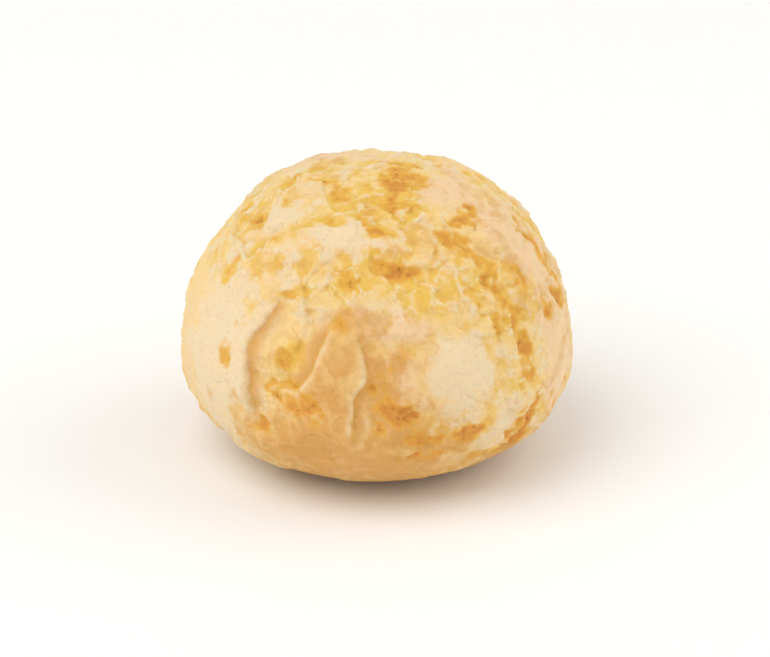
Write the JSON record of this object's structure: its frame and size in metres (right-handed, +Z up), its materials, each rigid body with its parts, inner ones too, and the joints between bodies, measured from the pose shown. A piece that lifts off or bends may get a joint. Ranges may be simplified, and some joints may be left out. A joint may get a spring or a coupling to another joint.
{
  "type": "cheese bread ball",
  "caption": "Small round baked cheese bread ball with a domed cream and golden crust, folded and cracked skin, and a flat base.",
  "frame": {"origin": "middle of the bottom of the ball's box, on the surface that it stands on", "axes": "+Z up through the dome; -Y is the front, the side that the picture shows; +X is to the right as seen from the front"},
  "size_m": [0.052, 0.051, 0.04],
  "materials": {
    "crust": "thin baked cheese-bread skin, cream to peach, with golden and orange-brown toasted spots, satin"
  },
  "bodies": {
    "root": {"cheese_ball": "crust"}
  },
  "joints": []
}
